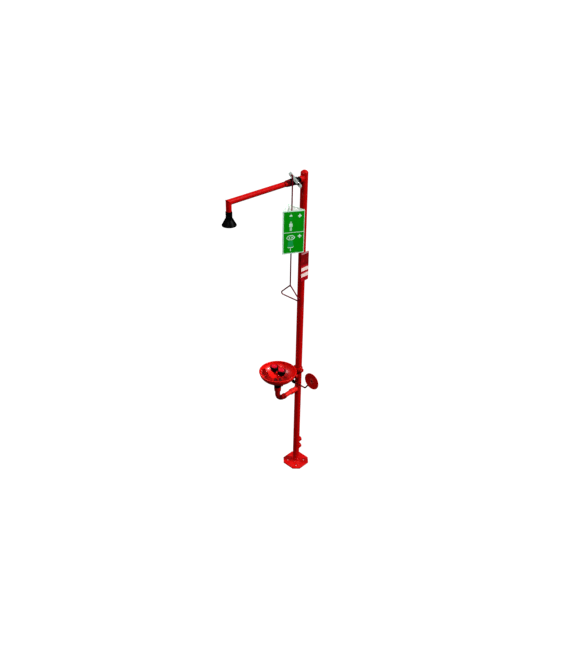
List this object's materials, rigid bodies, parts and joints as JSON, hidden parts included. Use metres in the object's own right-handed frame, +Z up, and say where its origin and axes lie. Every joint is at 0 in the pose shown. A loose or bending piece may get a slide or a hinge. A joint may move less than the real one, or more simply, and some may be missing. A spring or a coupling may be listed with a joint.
{
  "type": "emergency safety shower with eyewash",
  "caption": "Floor-standing combination safety shower: overhead drench head with pull-handle valve, bowl eyewash with push paddle, sign sleeve and drain on one column.",
  "frame": {"origin": "centre of the square base plate's underside, on the floor under the column's axis", "axes": "+Z up along the column; the shower arm and the eyewash bowl reach out along -Y, where the user stands; the pull rod and the push paddle are on the +X side, the user's right"},
  "size_m": [0.408, 0.7615, 2.3914],
  "materials": {
    "red_paint": "gloss",
    "dark_valve": "semi-gloss",
    "lever_steel": "satin",
    "steel": "satin",
    "chrome_ball": "polished",
    "rod_paint": "gloss",
    "seat_plastic": "matte",
    "black_plastic": "satin",
    "strainer_metal": "satin",
    "rubber": "matte",
    "drain_plastic": "matte",
    "sign_plastic": "gloss",
    "plate_print": "gloss",
    "cap_plastic": "gloss"
  },
  "bodies": {
    "frame": {"arm_union_collar": "red_paint", "base_plate": "red_paint", "bowl_bracket": "red_paint", "bowl_gasket": "rubber", "bowl_strainer": "strainer_metal", "clamp_bolts": "steel", "clamp_halves": "red_paint", "column_cap": "red_paint", "column_pipe": "red_paint", "drain_boss": "red_paint", "drain_elbow": "red_paint", "drain_outlet_socket": "red_paint", "drain_pipe": "red_paint", "drain_union": "red_paint", "eyewash_boss": "red_paint", "eyewash_bowl": "red_paint", "eyewash_heads": "black_plastic", "eyewash_nipple": "dark_valve", "eyewash_riser": "red_paint", "eyewash_screens": "strainer_metal", "eyewash_supply_pipe": "dark_valve", "eyewash_valve_body": "dark_valve", "eyewash_valve_end": "dark_valve", "gland_nuts": "dark_valve", "inner_drain_tube": "drain_plastic", "instruction_plate": "plate_print", "nozzle_manifold": "red_paint", "plate_rivets": "steel", "plate_saddle": "red_paint", "shower_arm": "red_paint", "shower_boss": "red_paint", "shower_flow_regulator": "seat_plastic", "shower_head_gasket": "rubber", "shower_head_nut": "black_plastic", "shower_head_shell": "black_plastic", "shower_nipple": "dark_valve", "shower_spray_plate": "black_plastic", "shower_valve_body": "dark_valve", "shower_valve_end": "dark_valve", "supply_tee": "red_paint", "valve_seats": "seat_plastic", "waste_supply_neck": "black_plastic", "water_inlet_socket": "red_paint"},
    "shower_lever": {"shower_lever": "lever_steel", "shower_valve_stem": "steel", "shower_valve_ball": "chrome_ball", "lever_nut_and_washer": "lever_steel"},
    "pull_rod": {"pull_rod": "rod_paint", "pull_handle": "rod_paint", "rod_clip": "lever_steel", "sign_sleeve": "sign_plastic", "sign_hangers": "sign_plastic", "sign_stop_collars": "black_plastic"},
    "push_paddle": {"push_paddle": "red_paint", "paddle_rod": "red_paint", "paddle_hub": "dark_valve", "eyewash_valve_stem": "steel", "eyewash_valve_ball": "chrome_ball"},
    "left_cap": {"dust_cap_left": "cap_plastic"},
    "right_cap": {"dust_cap_right": "cap_plastic"}
  },
  "joints": [
    {"name": "shower_lever_turn", "type": "hinge", "parent": "frame", "child": "shower_lever", "pos_m": [0.0436, -0.104, 2.3035], "axis": [1, 0, 0], "range_deg": [0, 90]},
    {"name": "pull_rod_hang", "type": "hinge", "parent": "shower_lever", "child": "pull_rod", "pos_m": [0.0436, -0.16733, 2.37023], "axis": [1, 0, 0], "range_deg": [-90, 0]},
    {"name": "paddle_push", "type": "hinge", "parent": "frame", "child": "push_paddle", "pos_m": [0, -0.09, 0.829], "axis": [-1, 0, 0], "range_deg": [0, 90]},
    {"name": "left_cap_lift", "type": "slide", "parent": "frame", "child": "left_cap", "axis": [0, 0, 1], "range_m": [0, 0.04]},
    {"name": "right_cap_lift", "type": "slide", "parent": "frame", "child": "right_cap", "axis": [0, 0, 1], "range_m": [0, 0.04]}
  ],
  "couplings": [
    {"joint": "pull_rod_hang", "follows": "shower_lever_turn", "ratio": -1}
  ]
}
